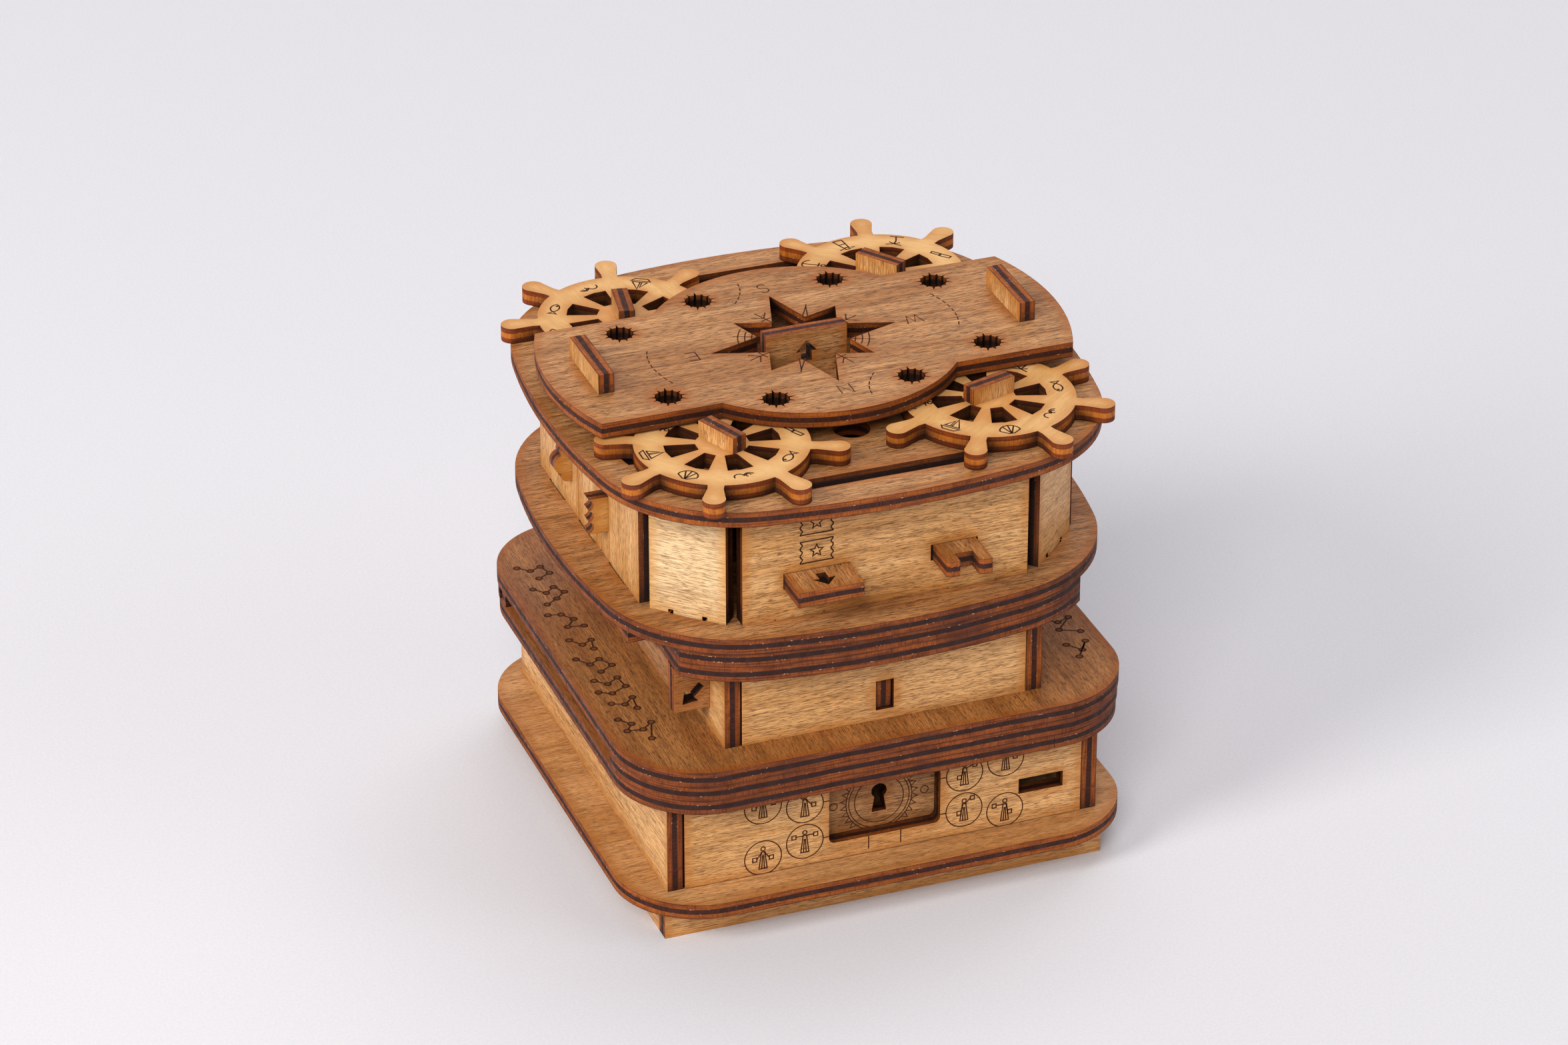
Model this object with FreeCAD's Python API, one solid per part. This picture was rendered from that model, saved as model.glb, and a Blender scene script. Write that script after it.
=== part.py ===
"""Wooden puzzle box: three stacked tiers of laser-cut plywood sheets under a lid that
carries four ship's wheels and a compass plate.

Millimetres, +Z up, origin on the table at the centre of the foot, front towards -Y.
Every piece of sheet is one solid in one node, written to parts/NODE.step.
"""
import FreeCAD, Part
import math
import os

V = FreeCAD.Vector

# --- driving dimensions -------------------------------------------------------------
SHEET = 4.0                 # thickness of every sheet
GAP = 0.15                  # room left round a piece that slides
JOINT = 0.3                 # open joint between neighbouring walls

FOOT_HALF, FOOT_H = 57.2, 8.4
BASE_HALF, CORNER_R = 65.5, 22.0
LOWER_HALF, LOWER_H = 56.0, 24.8        # lower tier, outer faces
DECK_HALF = 65.0
MID_HALF_X, MID_HALF_Y, MID_H = 40.9, 55.4, 21.2
COLLAR_HALF, LID_HALF = 66.0, 66.3      # squircle plates, at the middle of a side
SIDE_R, BEND_R = 200.0, 36.0            # their side and corner radii
UPPER_HALF, UPPER_H = 55.7, 30.4        # upper tier, outer faces of the wide walls
UPPER_FRONT_W, UPPER_SIDE_W = 72.8, 74.0
CORNER_DIST, CORNER_W = 66.5, 20.0      # corner panels: outer face from the axis, width

WHEEL_X, WHEEL_Y = 34.0, 35.6           # wheel centres
WHEEL_R, HANDLE_R, HANDLE_TIP = 21.1, 2.75, 30.4
WHEEL_TURN = {"front_left": 111.2, "front_right": 16.4, "rear_left": 80.0, "rear_right": 124.0}
SPINDLE_R, DISC_R, RUN_FIT = 4.0, 8.0, 0.08
HUB_TAB_L, HUB_TENON_L, HUB_TAB_H = 12.4, 8.0, 4.2

COMPASS_END_R, COMPASS_HALF_Y, COMPASS_R = 65.3, 25.0, 39.0
STAR_LONG, STAR_SHORT, STAR_INNER = 24.0, 18.8, 11.3
END_TAB_X, END_TAB_L, END_TENON_L, END_TAB_H = 54.2, 21.4, 14.0, 5.2
POINTER_W, POINTER_STEM_W, POINTER_FLANGE_W = 21.0, 14.0, 20.0
POINTER_RISE = 8.0

# --- heights of the storeys ---------------------------------------------------------
Z_BASE = FOOT_H
Z_LOWER = Z_BASE + SHEET
Z_DECK = Z_LOWER + LOWER_H
Z_MID = Z_DECK + 3 * SHEET
Z_COLLAR = Z_MID + MID_H
Z_UPPER = Z_COLLAR + 3 * SHEET
Z_LID = Z_UPPER + UPPER_H
Z_LID_TOP = Z_LID + SHEET
Z_WHEEL = Z_LID_TOP + 0.2
Z_WHEEL_TOP = Z_WHEEL + SHEET
Z_COMPASS = Z_WHEEL_TOP + 0.6
Z_COMPASS_TOP = Z_COMPASS + SHEET

parts = {}


# --- helpers ------------------------------------------------------------------------
def box(x0, x1, y0, y1, z0, z1):
    """Axis-aligned block between two corners."""
    return Part.makeBox(x1 - x0, y1 - y0, z1 - z0, V(x0, y0, z0))


def disc(x, y, z, radius, height):
    return Part.makeCylinder(radius, height, V(x, y, z))


def polygon(points, z, height):
    """Prism over a closed outline of (x, y) points."""
    corners = [V(x, y, z) for x, y in points]
    face = Part.Face(Part.makePolygon(corners + corners[:1]))
    return face.extrude(V(0, 0, height))


def polar(radius, degrees):
    a = math.radians(degrees)
    return radius * math.cos(a), radius * math.sin(a)


def arc(p, q, r, z):
    return Part.Arc(V(p[0], p[1], z), V(q[0], q[1], z), V(r[0], r[1], z)).toShape()


def prism(edges, height):
    return Part.Face(Part.Wire(edges)).extrude(V(0, 0, height))


def rounded_square(half, radius, z, height):
    """Square sheet with straight sides and round corners."""
    block = box(-half, half, -half, half, z, z + height)
    upright = [e for e in block.Edges if abs(e.tangentAt(e.FirstParameter).z) > 0.9]
    return block.makeFillet(radius, upright)


def squircle(half, z, height):
    """Square sheet whose four sides bulge: side arcs run tangent into corner arcs."""
    offset = SIDE_R - half
    reach = SIDE_R - BEND_R
    # the corner arc's centre lies on the diagonal at (a, a)
    a = (-offset + math.sqrt(2 * reach ** 2 - offset ** 2)) / 2
    tilt = math.degrees(math.atan2(a, a + offset))
    edges = []
    for turn in (0, 90, 180, 270):
        def point(centre_x, centre_y, radius, angle):
            dx, dy = polar(radius, angle)
            return rotate(centre_x + dx, centre_y + dy, turn)
        edges.append(arc(point(-offset, 0, SIDE_R, -tilt), point(-offset, 0, SIDE_R, 0),
                         point(-offset, 0, SIDE_R, tilt), z))
        edges.append(arc(point(a, a, BEND_R, tilt), point(a, a, BEND_R, 45),
                         point(a, a, BEND_R, 90 - tilt), z))
    return prism(edges, height)


def rotate(x, y, degrees):
    c, s = math.cos(math.radians(degrees)), math.sin(math.radians(degrees))
    return x * c - y * s, x * s + y * c


def placed(shape, x, y, degrees):
    """Turn a shape about the Z axis, then move it."""
    out = shape.copy()
    out.rotate(V(0, 0, 0), V(0, 0, 1), degrees)
    out.translate(V(x, y, 0))
    return out


def cut(shape, *tools):
    for tool in tools:
        shape = shape.cut(tool)
    return shape


def fuse(shape, *others):
    for other in others:
        shape = shape.fuse(other)
    return shape.removeSplitter()


# --- foot, base plate and lower tier ------------------------------------------------
def build_foot():
    f, s = FOOT_HALF, SHEET
    front = box(-f, f, -f, s - f, 0, FOOT_H)
    parts["plinth_ends"] = Part.makeCompound([front, placed(front, 0, 0, 180)])
    left = box(-f, s - f, s - f, f - s, 0, FOOT_H)
    parts["plinth_sides"] = Part.makeCompound([left, placed(left, 0, 0, 180)])
    parts["base_plate"] = rounded_square(BASE_HALF, CORNER_R, Z_BASE, SHEET)


def build_lower_walls():
    h, s = LOWER_HALF, SHEET
    left = box(-h, s - h, -h, h, Z_LOWER, Z_DECK)
    peephole = Part.makeCylinder(1.5, 3 * s, V(-h - s, 40.0, Z_DECK - 6.0), V(1, 0, 0))
    parts["lower_wall_left"] = cut(left, peephole)
    parts["lower_wall_right"] = box(h - s, h, -h, h, Z_LOWER, Z_DECK)
    inner = h - s - JOINT
    parts["lower_wall_rear"] = box(-inner, inner, h - s, h, Z_LOWER, Z_DECK)


# --- drawer behind the keyhole wall -------------------------------------------------
DRAWER_FRONT_Y = -(LOWER_HALF + 0.4)
DRAWER_BACK_Y = 44.0
DRAWER_SIDE_X = 51.3                    # outer faces of the drawer's sides
WINDOW_HALF_W, WINDOW_Z0, WINDOW_Z1 = 14.5, 17.2, 32.6
KEYHOLE_Z = 27.0


def build_drawer():
    s, y0 = SHEET, DRAWER_FRONT_Y
    z0, z1 = Z_LOWER + 0.2, Z_DECK - 0.2
    half = LOWER_HALF - s - JOINT
    front = box(-half, half, y0, y0 + s, z0, z1)
    window = box(-WINDOW_HALF_W, WINDOW_HALF_W, y0 - 1, y0 + s + 1, WINDOW_Z0, WINDOW_Z1)
    along_y = [e for e in window.Edges if abs(e.tangentAt(e.FirstParameter).y) > 0.9]
    slot = box(35.2, 46.9, y0 - 1, y0 + s + 1, 20.7, 24.9)
    parts["drawer_front"] = cut(front, window.makeFillet(1.6, along_y), slot)

    inside = y0 + s
    plate = box(-24.0, 24.0, inside, inside + s, z0 + s, z1 - 2.0)
    bow = Part.makeCylinder(2.0, 3 * s, V(0, inside - s, KEYHOLE_Z), V(0, 1, 0))
    skirt = Part.Face(Part.makePolygon([
        V(-1.0, inside - s, KEYHOLE_Z), V(1.0, inside - s, KEYHOLE_Z),
        V(1.9, inside - s, KEYHOLE_Z - 5.8), V(-1.9, inside - s, KEYHOLE_Z - 5.8),
        V(-1.0, inside - s, KEYHOLE_Z)])).extrude(V(0, 3 * s, 0))
    parts["keyhole_plate"] = cut(plate, bow, skirt)

    x, back = DRAWER_SIDE_X, DRAWER_BACK_Y
    floor_top = z0 + s
    parts["drawer_floor"] = box(-x, x, inside, back, z0, floor_top)
    side = box(-x, s - x, inside, back, floor_top, z1 - 3.0)
    other = box(x - s, x, inside, back, floor_top, z1 - 3.0)
    parts["drawer_sides"] = Part.makeCompound([side, other])
    parts["drawer_back"] = box(s - x, x - s, back - s, back, floor_top, z1 - 3.0)


# --- deck between lower and middle tier ---------------------------------------------
DECK_SPLIT_X = 40.9
CHANNEL_DEPTH, CHANNEL_Y0, CHANNEL_Y1 = 2.6, -40.0, 46.0


def build_deck():
    top_z, mid_z, low_z = Z_MID - SHEET, Z_MID - 2 * SHEET, Z_DECK
    mid_tabs = wall_tabs(MID_HALF_X, MID_HALF_Y, Z_MID, JOINT / 2)
    parts["deck_top"] = cut(rounded_square(DECK_HALF, CORNER_R, top_z, SHEET), *mid_tabs)

    middle = rounded_square(DECK_HALF - 0.2, CORNER_R, mid_z, SHEET)
    channel = box(-DECK_HALF - 1, CHANNEL_DEPTH - DECK_HALF, CHANNEL_Y0, CHANNEL_Y1,
                  mid_z - 1, mid_z + SHEET + 1)
    pin = box(0.4 - DECK_HALF, CHANNEL_DEPTH - DECK_HALF, 41.0, 43.6, mid_z, mid_z + SHEET)
    parts["deck_middle"] = fuse(cut(middle, channel), pin)

    low = rounded_square(DECK_HALF - 0.4, CORNER_R, low_z, SHEET)
    right = box(DECK_SPLIT_X, DECK_HALF + 1, -DECK_HALF, DECK_HALF, low_z - 1, low_z + SHEET + 1)
    seam = box(DECK_SPLIT_X - 0.1, DECK_SPLIT_X, -DECK_HALF, DECK_HALF, low_z - 1,
               low_z + SHEET + 1)
    parts["deck_bottom"] = cut(low, right, seam)
    parts["deck_end_piece"] = low.common(right)


# --- middle tier --------------------------------------------------------------------
TAB_W = 12.0                            # tenons under the tier walls
STRIP_SLOT_W, STRIP_SLOT_Z0, STRIP_SLOT_Z1 = 4.6, 51.9, 60.0


def wall_tabs(half_x, half_y, z, room):
    """Tenons of a tier's side walls, two each side, let into the sheet below height z."""
    tabs = []
    for side in (-1, 1):
        x0, x1 = sorted((side * half_x, side * (half_x - SHEET)))
        for y in (-half_y / 2, half_y / 2):
            tabs.append(box(x0 - room, x1 + room, y - TAB_W / 2 - room, y + TAB_W / 2 + room,
                            z - SHEET, z))
    return tabs


ARROW_Y = -45.0                         # front face of the side arrow plate
ARROW_Z0, ARROW_Z1 = 55.2, 67.4
ARROW_OUT_X, ARROW_IN_X = -50.0, -31.4


def build_middle_walls():
    x, y, s = MID_HALF_X, MID_HALF_Y, SHEET
    tabs = wall_tabs(x, y, Z_MID, 0)
    left = box(-x, s - x, -y, y, Z_MID, Z_COLLAR)
    slot = box(-x - 1, s - x + 1, ARROW_Y - GAP, ARROW_Y + s + GAP, ARROW_Z0 - GAP, ARROW_Z1 + GAP)
    parts["middle_wall_left"] = cut(fuse(left, *tabs[:2]), slot)
    parts["middle_wall_right"] = fuse(box(x - s, x, -y, y, Z_MID, Z_COLLAR), *tabs[2:])
    inner = x - s - JOINT
    front = box(-inner, inner, -y - 0.2, s - y - 0.2, Z_MID, Z_COLLAR)
    half = STRIP_SLOT_W / 2
    opening = box(-half, half, -y - 1, s - y + 1, STRIP_SLOT_Z0, STRIP_SLOT_Z1)
    parts["middle_wall_front"] = cut(front, opening)
    parts["middle_wall_rear"] = box(-inner, inner, y - s, y, Z_MID, Z_COLLAR)
    strip = box(-s / 2, s / 2, 0.8 - y, 13 - y, STRIP_SLOT_Z0 + GAP, STRIP_SLOT_Z1 - GAP)
    foot = box(-s / 2 - 3, s / 2 + 3, 13 - y, 13 + s - y, Z_MID, STRIP_SLOT_Z1 + 4)
    parts["slot_strip"] = fuse(strip, foot)


def build_side_arrow():
    """Plate that stands out of the left wall, with the bar that runs back behind it."""
    y0, y1 = ARROW_Y, ARROW_Y + SHEET
    plate = box(ARROW_OUT_X, ARROW_IN_X, y0, y1, ARROW_Z0, ARROW_Z1)
    stop = box(ARROW_IN_X, ARROW_IN_X + SHEET, y0, y1, ARROW_Z0 - 3, ARROW_Z1)
    x, z = -45.3, 59.6                  # middle of the arrow, which points down and out
    outline = [(-3.6, 0), (-0.4, 2.5), (-0.4, 0.95), (3.2, 0.95), (3.2, -0.95), (-0.4, -0.95),
               (-0.4, -2.5)]
    turned = [rotate(a, b, 45) for a, b in outline]
    corners = [V(x + a, y0 - 1, z + b) for a, b in turned]
    arrow = Part.Face(Part.makePolygon(corners + corners[:1])).extrude(V(0, SHEET + 2, 0))
    parts["side_arrow_plate"] = cut(fuse(plate, stop), arrow)
    parts["side_arrow_bar"] = box(ARROW_OUT_X, ARROW_OUT_X + SHEET, y1, y1 + 24, ARROW_Z1 - 7.0,
                                  Z_COLLAR - 0.3)


# --- collar between middle and upper tier -------------------------------------------
COLLAR_SIDE_X = 51.5                    # straight sides of the two lower sheets
SLIDER_IN_X, SLIDER_OUT_X, SLIDER_Y = 51.7, 57.7, 34.3


def upper_tenons(room):
    """Tenons of the upper tier's walls and corner panels in the collar's top plate."""
    z, s = Z_UPPER - SHEET, SHEET
    h = UPPER_HALF
    tenons = {"front": [], "rear": [], "left": [], "right": []}
    for x in (-22.0, 22.0):
        tenons["front"].append(box(x - 6 - room, x + 6 + room, -h - room, s - h + room, z, Z_UPPER))
        tenons["rear"].append(box(x - 6 - room, x + 6 + room, h - s - room, h + room, z, Z_UPPER))
    for name, x0, x1 in (("left", -h, s - h), ("right", h - s, h)):
        for y in (-21.5, 1.0, 23.5):
            tenons[name].append(box(x0 - room, x1 + room, y - 5.5 - room, y + 5.5 + room, z,
                                    Z_UPPER))
    return tenons


CORNERS = {"front_left": 225, "front_right": 315, "rear_right": 45, "rear_left": 135}
CORNER_TENON_W = 7.6


def corner_block(width, room, z0, z1, angle, shift=0.0):
    """Upright block in the plane of the corner panel that faces the given angle."""
    d = CORNER_DIST
    block = box(d - SHEET - room, d + room, shift - width / 2, shift + width / 2, z0, z1)
    return placed(block, 0, 0, angle)


def build_collar():
    low_z, mid_z, top_z = Z_COLLAR, Z_COLLAR + SHEET, Z_COLLAR + 2 * SHEET
    for name, z in (("collar_lower", low_z), ("collar_middle", mid_z)):
        sheet = squircle(COLLAR_HALF - 0.8, z, SHEET)
        x = COLLAR_SIDE_X
        parts[name] = sheet.common(box(-x, x, -90, 90, z, z + SHEET))
    slider = box(-SLIDER_OUT_X, -SLIDER_IN_X, -SLIDER_Y, SLIDER_Y, low_z, top_z)
    parts["collar_slider"] = slider
    parts["collar_rail"] = placed(slider, 0, 0, 180)
    slots = [t for group in upper_tenons(0.35).values() for t in group]
    slots += [corner_block(CORNER_TENON_W + 1.6, 0.2, top_z, Z_UPPER, a) for a in CORNERS.values()]
    parts["collar_top"] = cut(squircle(COLLAR_HALF, top_z, SHEET), *slots)


# --- upper tier ---------------------------------------------------------------------
TONGUE_X0, TONGUE_X1, TONGUE_Z1, TONGUE_FRONT = -25.9, -9.4, 94.3, -65.6
FORK_X0, FORK_X1, FORK_Z1 = 11.9, 22.9, 94.8
FORK_SHORT, FORK_LONG, FORK_ROOT = -65.2, -66.4, -61.4
KEY_Z0, KEY_Z1 = 90.6, 100.0
CLOVER_Y, SCALLOP_Y = 12.3, -15.0       # front faces of the two keys in the left wall
PANEL_SPLIT = (-5.9, 7.8)
NOTCH_W, NOTCH_H = 1.3, 0.9             # relief cuts beside the tenon of a corner panel


def build_upper_walls():
    h, s, z0, z1 = UPPER_HALF, SHEET, Z_UPPER, Z_LID
    tenons = upper_tenons(0)
    half = UPPER_FRONT_W / 2
    front = fuse(box(-half, half, -h, s - h, z0, z1), *tenons["front"])
    tongue = box(TONGUE_X0 - GAP, TONGUE_X1 + GAP, -h - 1, s - h + 1, TONGUE_Z1 - s - GAP,
                 TONGUE_Z1 + GAP)
    fork = box(FORK_X0 - 0.5, FORK_X1 + 0.5, -h - 1, s - h + 1, FORK_Z1 - s - GAP, FORK_Z1 + GAP)
    parts["upper_wall_front"] = cut(front, tongue, fork)
    parts["upper_wall_rear"] = fuse(box(-half, half, h - s, h, z0, z1), *tenons["rear"])
    half = UPPER_SIDE_W / 2
    parts["upper_wall_right"] = fuse(box(h - s, h, -half, half, z0, z1), *tenons["right"])

    seam = 0.1
    spans = {"front": (-half, PANEL_SPLIT[0] - seam), "middle": PANEL_SPLIT,
             "rear": (PANEL_SPLIT[1] + seam, half)}
    for (name, (y0, y1)), tenon in zip(spans.items(), tenons["left"]):
        panel = fuse(box(-h, s - h, y0, y1, z0, z1), tenon)
        for key_y in (CLOVER_Y, SCALLOP_Y):
            panel = cut(panel, box(-h - 1, s - h + 1, key_y - GAP, key_y + s + GAP,
                                   KEY_Z0 - GAP, KEY_Z1 + GAP))
        parts["upper_wall_left_" + name] = panel

    for name, angle in CORNERS.items():
        panel = corner_block(CORNER_W, 0, z0, z1, angle)
        tenon = corner_block(CORNER_TENON_W, 0, z0 - s, z0, angle)
        notches = [corner_block(NOTCH_W, 1.0, z0, z0 + NOTCH_H, angle,
                                side * (CORNER_TENON_W + NOTCH_W) / 2) for side in (-1, 1)]
        parts["corner_panel_" + name] = cut(fuse(panel, tenon), *notches)


def build_keys():
    """Sliding pieces of the upper tier: tongue, fork and the two keys of the left wall."""
    s, inner = SHEET, -38.0
    z = TONGUE_Z1 - s
    tongue = polygon([(TONGUE_X0, inner), (TONGUE_X0, TONGUE_FRONT), (TONGUE_X1, TONGUE_FRONT),
                      (TONGUE_X1, inner), (TONGUE_X1 + 2, inner), (TONGUE_X1 + 2, inner + s),
                      (TONGUE_X0 - 2, inner + s), (TONGUE_X0 - 2, inner)], z, s)
    middle = (TONGUE_X0 + TONGUE_X1) / 2
    arrow = [(0, -3.2), (2.9, 0.1), (1.2, -0.1), (1.2, 2.6), (-1.2, 2.6), (-1.2, -0.1), (-2.9, 0.1)]
    hole = polygon([(middle + a, -60.6 + b) for a, b in arrow], z - 1, s + 2)
    parts["arrow_tongue"] = cut(tongue, hole)

    z = FORK_Z1 - s
    prong = 3.2
    x0, x1 = FORK_X0, FORK_X1
    parts["fork_key"] = polygon([
        (x0, inner), (x0, FORK_SHORT + 0.8), (x0 + 0.8, FORK_SHORT), (x0 + prong, FORK_SHORT),
        (x0 + prong, FORK_ROOT), (x1 - prong, FORK_ROOT), (x1 - prong, FORK_LONG + 0.8),
        (x1 - prong + 0.8, FORK_LONG), (x1, FORK_LONG), (x1, inner), (x1 + 2, inner),
        (x1 + 2, inner + s), (x0 - 2, inner + s), (x0 - 2, inner)], z, s)

    out, stop = -60.5, -36.0
    rest = [box(-51.5, -39.5, y, y + s, Z_UPPER, KEY_Z0 - GAP) for y in (SCALLOP_Y, CLOVER_Y)]
    blade = box(out, stop, SCALLOP_Y, SCALLOP_Y + s, KEY_Z0, KEY_Z1)
    heel = box(stop, stop + s, SCALLOP_Y, SCALLOP_Y + s, KEY_Z0, KEY_Z1 + 3)
    bites = [Part.makeCylinder(1.45, s + 2, V(out - 0.3, SCALLOP_Y - 1, zc), V(0, 1, 0))
             for zc in (92.4, 95.4, 98.4)]
    parts["scallop_key"] = cut(fuse(blade, heel), *bites)

    lobe = [Part.makeCylinder(r, s, V(x, CLOVER_Y, zc), V(0, 1, 0))
            for x, zc, r in ((-57.6, 95.3, 2.6), (-56.9, 98.4, 1.6), (-56.9, 92.2, 1.6))]
    blade = box(-56.8, stop, CLOVER_Y, CLOVER_Y + s, KEY_Z0, KEY_Z1)
    heel = box(stop, stop + s, CLOVER_Y, CLOVER_Y + s, KEY_Z0, KEY_Z1 + 3)
    parts["clover_key"] = fuse(blade, heel, *lobe)

    rest.append(box(TONGUE_X0, TONGUE_X1, -51.5, -42.5, Z_UPPER, TONGUE_Z1 - s - GAP))
    rest.append(box(FORK_X0, FORK_X1, -51.5, -42.5, Z_UPPER, FORK_Z1 - s - GAP))
    parts["key_rests"] = Part.makeCompound(rest)


# --- lid and what it carries --------------------------------------------------------
WHEELS = {"front_left": (-1, -1), "front_right": (1, -1), "rear_left": (-1, 1),
          "rear_right": (1, 1)}
SLOT_HALF, SLOT_Y0, SLOT_Y1 = 23.0, 52.6, 57.3


def wheel_centre(name):
    sx, sy = WHEELS[name]
    return sx * WHEEL_X, sy * WHEEL_Y


def build_lid():
    lid = squircle(LID_HALF, Z_LID, SHEET)
    z0, z1 = Z_LID - 1, Z_LID_TOP + 1
    tools = [box(-SLOT_HALF, SLOT_HALF, -SLOT_Y1, -SLOT_Y0, z0, z1),
             box(-SLOT_HALF, SLOT_HALF, SLOT_Y0, SLOT_Y1, z0, z1),
             disc(0, -32.5, z0, 4.5, z1 - z0),
             polygon([(-57.0, -25.0), (-53.0, -27.0), (-52.6, -31.4), (-55.8, -31.0)], z0, z1 - z0)]
    for name in WHEELS:
        x, y = wheel_centre(name)
        tools.append(disc(x, y, z0, SPINDLE_R + RUN_FIT, z1 - z0))
    half = POINTER_STEM_W / 2 + GAP
    tools.append(box(-half, half, -SHEET / 2 - GAP, SHEET / 2 + GAP, z0, z1))
    tools += [tenon_hole(side, z0, z1) for side in (-1, 1)]
    parts["lid_plate"] = cut(lid, *tools)


def tenon_hole(side, z0, z1):
    x, half = side * END_TAB_X, END_TENON_L / 2
    return box(x - SHEET / 2, x + SHEET / 2, -half, half, z0, z1)


def wheel_outline():
    """Disc with eight handles, drawn with one handle along +X."""
    body = disc(0, 0, Z_WHEEL, WHEEL_R, SHEET)
    head = HANDLE_TIP - HANDLE_R
    for k in range(8):
        neck = polygon([(WHEEL_R - 2, -2.1), (WHEEL_R + 1.6, -1.9), (head, -HANDLE_R),
                        (head, HANDLE_R), (WHEEL_R + 1.6, 1.9), (WHEEL_R - 2, 2.1)],
                       Z_WHEEL, SHEET)
        handle = neck.fuse(disc(head, 0, Z_WHEEL, HANDLE_R, SHEET))
        body = body.fuse(placed(handle, 0, 0, 45 * k))
    return body.removeSplitter()


def build_wheels():
    inner, outer = 6.3, 13.6
    window = polygon([(inner, -1.5), (outer, -3.2), (outer + 0.5, 0), (outer, 3.2), (inner, 1.5)],
                     Z_WHEEL - 1, SHEET + 2)
    wheel = cut(wheel_outline(), *[placed(window, 0, 0, 45 * k + 22.5) for k in range(8)])
    half = HUB_TENON_L / 2
    s = SHEET / 2
    wheel = cut(wheel, box(-half, half, -s, s, Z_WHEEL - 1, Z_WHEEL_TOP + 1))
    tab = fuse(box(-HUB_TAB_L / 2, HUB_TAB_L / 2, -s, s, Z_WHEEL_TOP, Z_WHEEL_TOP + HUB_TAB_H),
               box(-half, half, -s, s, Z_WHEEL, Z_WHEEL_TOP))
    disc_z = Z_LID - 0.2 - SHEET
    spindle = fuse(disc(0, 0, disc_z, SPINDLE_R, Z_WHEEL - disc_z), disc(0, 0, disc_z, DISC_R, SHEET))
    for name in WHEELS:
        x, y = wheel_centre(name)
        turn = WHEEL_TURN[name]
        parts["wheel_" + name] = placed(wheel, x, y, turn)
        parts["hub_tab_" + name] = placed(tab, x, y, turn)
        parts["spindle_" + name] = placed(spindle, x, y, turn)


def compass_outline(z):
    """Band with round ends, and a disc that bulges out of it front and back."""
    end_x = math.sqrt(COMPASS_END_R ** 2 - COMPASS_HALF_Y ** 2)
    waist = math.sqrt(COMPASS_R ** 2 - COMPASS_HALF_Y ** 2)
    y = COMPASS_HALF_Y

    def line(p, q):
        return Part.makeLine(V(p[0], p[1], z), V(q[0], q[1], z))

    edges = [line((-end_x, -y), (-waist, -y)), arc((-waist, -y), (0, -COMPASS_R), (waist, -y), z),
             line((waist, -y), (end_x, -y)), arc((end_x, -y), (COMPASS_END_R, 0), (end_x, y), z),
             line((end_x, y), (waist, y)), arc((waist, y), (0, COMPASS_R), (-waist, y), z),
             line((-waist, y), (-end_x, y)), arc((-end_x, y), (-COMPASS_END_R, 0), (-end_x, -y), z)]
    return prism(edges, SHEET)


SPLINE_HOLES = [(17.3, 27.5), (41.0, 17.6)]
SPLINE_TEETH, SPLINE_IN, SPLINE_OUT = 13, 3.3, 4.9


def spline_hole(x, y, z, height):
    """Round hole with a fringe of thin teeth cut into its rim."""
    points = []
    step = 360 / SPLINE_TEETH
    for k in range(SPLINE_TEETH):
        for turn, radius in ((0.0, SPLINE_OUT - 0.5 * (k % 3)), (0.2, SPLINE_IN), (0.8, SPLINE_IN)):
            dx, dy = polar(radius, (k + turn) * step)
            points.append((x + dx, y + dy))
    return polygon(points, z, height)


def build_compass():
    z0, z1 = Z_COMPASS - 1, Z_COMPASS_TOP + 1
    star = []
    for k in range(8):
        star.append(polar(STAR_LONG if k % 2 == 0 else STAR_SHORT, 45 * k))
        star.append(polar(STAR_INNER, 45 * k + 22.5))
    tools = [polygon(star, z0, z1 - z0)]
    for x, y in SPLINE_HOLES:
        for sx, sy in WHEELS.values():
            tools.append(spline_hole(sx * x, sy * y, z0, z1 - z0))
    tools += [tenon_hole(side, z0, z1) for side in (-1, 1)]
    parts["compass_plate"] = cut(compass_outline(Z_COMPASS), *tools)

    for name, side in (("left", -1), ("right", 1)):
        x, half, s = side * END_TAB_X, END_TAB_L / 2, SHEET / 2
        head = box(x - s, x + s, -half, half, Z_COMPASS_TOP, Z_COMPASS_TOP + END_TAB_H)
        half = END_TENON_L / 2
        parts["end_tab_" + name] = fuse(head, box(x - s, x + s, -half, half, Z_LID, Z_COMPASS_TOP))
    spacer = box(30, 50, -4, 4, Z_LID_TOP, Z_COMPASS)
    parts["compass_spacers"] = Part.makeCompound([spacer, placed(spacer, 0, 0, 180)])


def build_pointer():
    """Upright plate in the star, with shoulders above the lid and a flange below it."""
    s = SHEET / 2
    shoulder = Z_WHEEL
    foot = Z_LID - 0.4 - POINTER_RISE - SHEET
    levels = [(POINTER_W, shoulder, Z_COMPASS_TOP + 2.9), (POINTER_STEM_W, foot, shoulder),
              (POINTER_FLANGE_W, foot, foot + SHEET)]
    blocks = [box(-w / 2, w / 2, -s, s, z0, z1) for w, z0, z1 in levels]
    tip = Z_COMPASS_TOP + 0.3
    outline = [(0, 0), (2.7, -3.0), (1.4, -3.0), (1.4, -5.6), (-1.4, -5.6), (-1.4, -3.0), (-2.7, -3.0)]
    corners = [V(x, -s - 1, tip + z) for x, z in outline]
    arrow = Part.Face(Part.makePolygon(corners + corners[:1])).extrude(V(0, SHEET + 2, 0))
    parts["pointer_plate"] = cut(fuse(*blocks), arrow)


build_foot()
build_lower_walls()
build_drawer()
build_deck()
build_middle_walls()
build_side_arrow()
build_collar()
build_upper_walls()
build_keys()
build_lid()
build_wheels()
build_compass()
build_pointer()

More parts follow.
